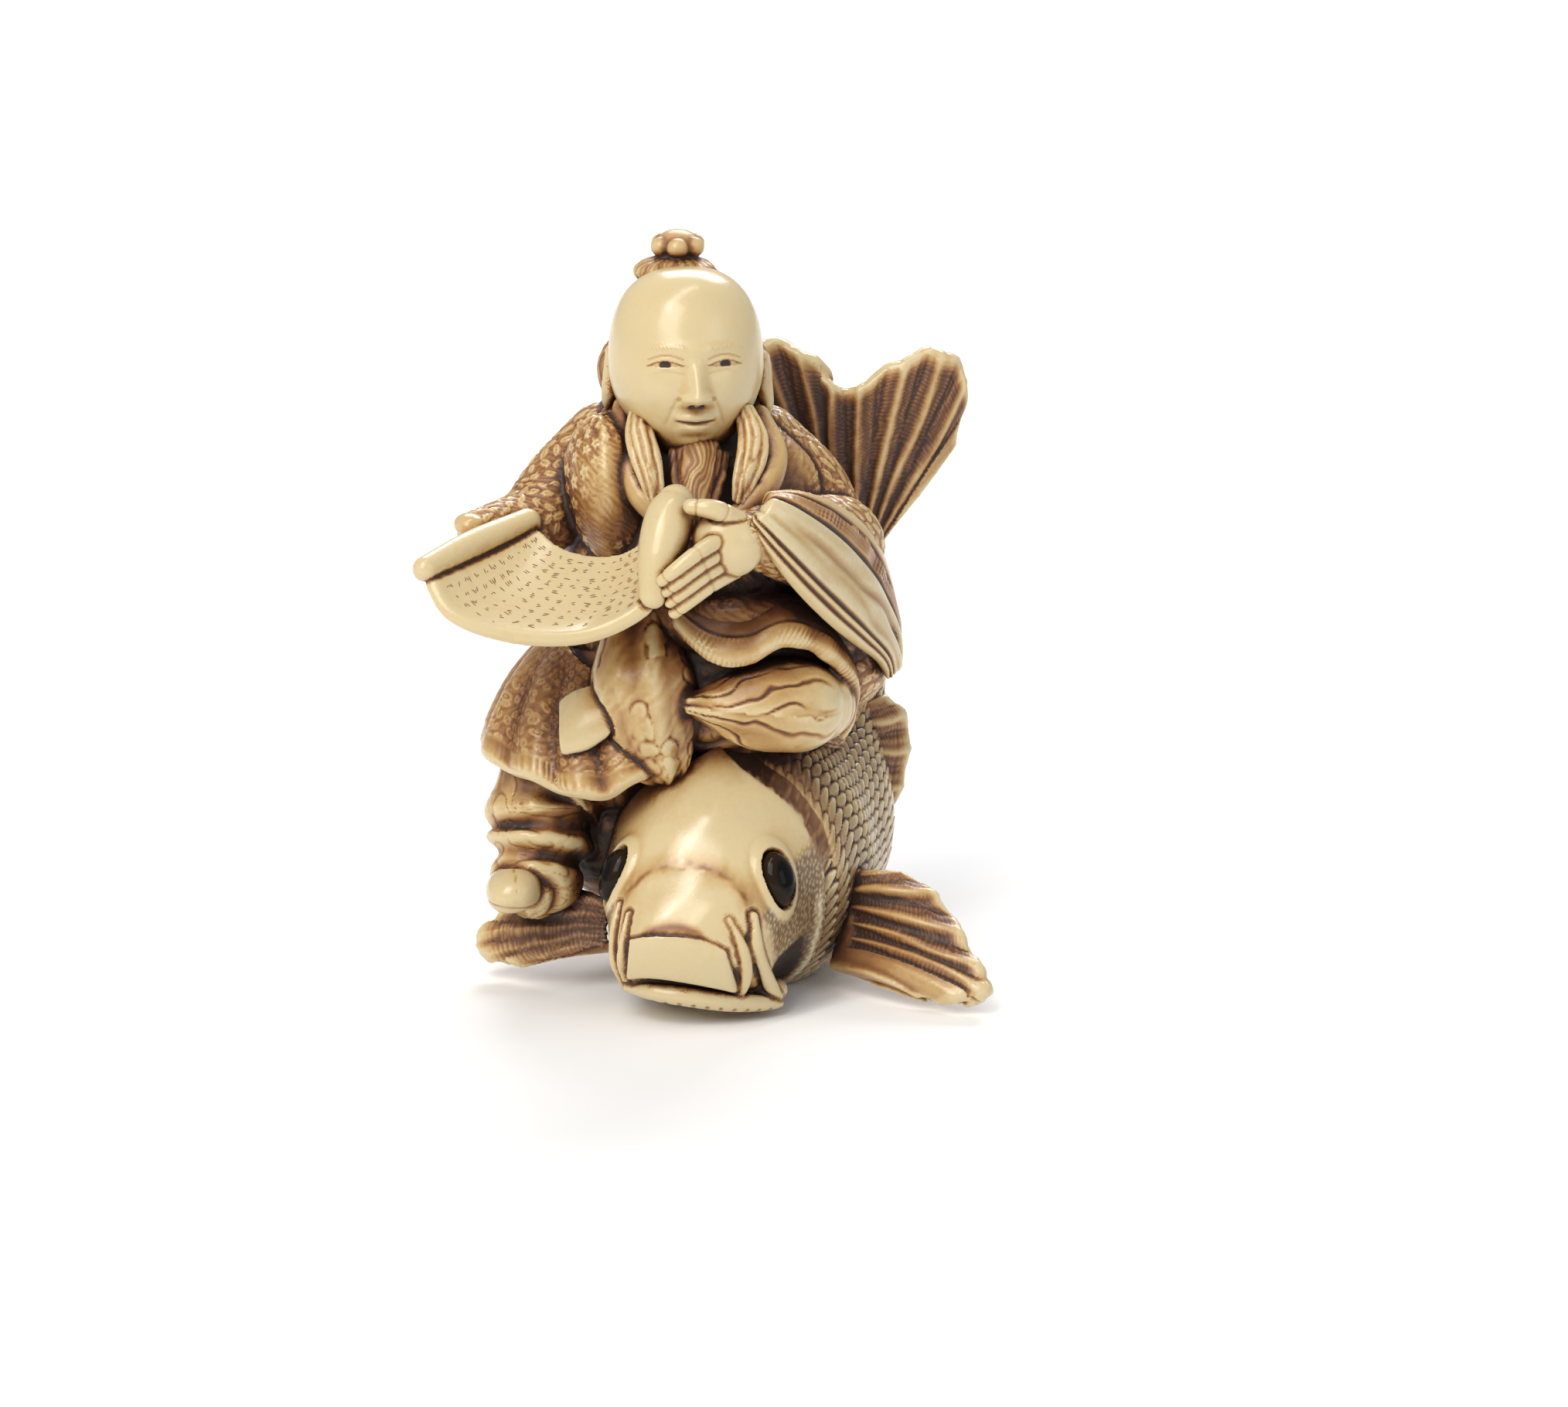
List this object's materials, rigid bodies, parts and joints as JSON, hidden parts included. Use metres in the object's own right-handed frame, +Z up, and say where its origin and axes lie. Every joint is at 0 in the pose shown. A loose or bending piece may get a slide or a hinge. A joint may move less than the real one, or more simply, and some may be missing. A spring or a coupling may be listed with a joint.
{
  "type": "netsuke",
  "caption": "Small carved toggle in stained ivory: a sage with an open scroll rides a carp that curls round behind them. It stands on the carp's belly, and a cord passes through the back.",
  "frame": {"origin": "on the flat underside of the carp's belly, below the sage's seat", "axes": "+Z up, the group's front and the carp's snout face -Y, +X to the viewer's right"},
  "size_m": [0.0369, 0.0298, 0.0485],
  "materials": {
    "stained_ivory": "satin",
    "dark_horn": "gloss"
  },
  "bodies": {
    "root": {"ivory_carving": "stained_ivory", "carp_eye_left": "dark_horn", "carp_eye_right": "dark_horn"}
  },
  "joints": []
}
